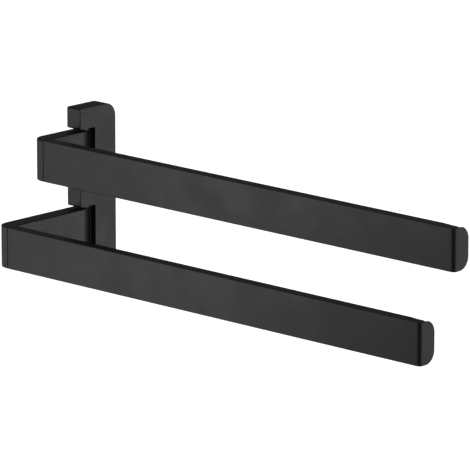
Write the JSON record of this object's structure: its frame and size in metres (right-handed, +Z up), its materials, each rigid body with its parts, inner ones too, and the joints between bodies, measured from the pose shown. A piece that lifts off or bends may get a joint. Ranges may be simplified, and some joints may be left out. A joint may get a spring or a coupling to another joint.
{
  "type": "towel rack",
  "caption": "Wall-mounted towel rack with two flat swing arms on one vertical hinge pin, each with an end lip.",
  "frame": {"origin": "on the wall, midway between the two fixing screws", "axes": "+X out of the wall, +Z up, hinge knuckles on the -Y side; at rest both bars point along +X"},
  "size_m": [0.4741, 0.122, 0.1346],
  "materials": {
    "satin_black": "fine satin black powder coat",
    "ground_steel": "ground stainless steel",
    "zinc_plate": "bright zinc-plated steel",
    "black_oxide": "oiled black oxide steel",
    "bush_polymer": "moulded acetal, black",
    "spring_steel": "rolled spring steel",
    "washer_polymer": "moulded nylon, black"
  },
  "bodies": {
    "wall_unit": {"hinge_body": "satin_black", "hinge_pin": "ground_steel", "pin_end_plug": "satin_black", "pin_lock_screw": "black_oxide", "body_set_screw": "black_oxide", "wall_bracket": "zinc_plate", "fixing_screws": "zinc_plate", "fixing_washers": "zinc_plate", "upper_friction_washer": "spring_steel", "upper_thrust_washer": "washer_polymer", "lower_friction_washer": "spring_steel", "lower_thrust_washer": "washer_polymer"},
    "upper_arm": {"upper_arm_leg": "satin_black", "upper_arm_bar": "satin_black", "upper_bar_set_screw": "black_oxide", "upper_top_bush": "bush_polymer", "upper_bottom_bush": "bush_polymer"},
    "lower_arm": {"lower_arm_leg": "satin_black", "lower_arm_bar": "satin_black", "lower_bar_set_screw": "black_oxide", "lower_top_bush": "bush_polymer", "lower_bottom_bush": "bush_polymer"}
  },
  "joints": [
    {"name": "upper_arm_swing", "type": "hinge", "parent": "wall_unit", "child": "upper_arm", "pos_m": [0.0081, -0.02, 0.03175], "axis": [0, 0, 1], "range_deg": [0, 90]},
    {"name": "lower_arm_swing", "type": "hinge", "parent": "wall_unit", "child": "lower_arm", "pos_m": [0.0081, -0.02, -0.03175], "axis": [0, 0, 1], "range_deg": [0, 90]}
  ]
}
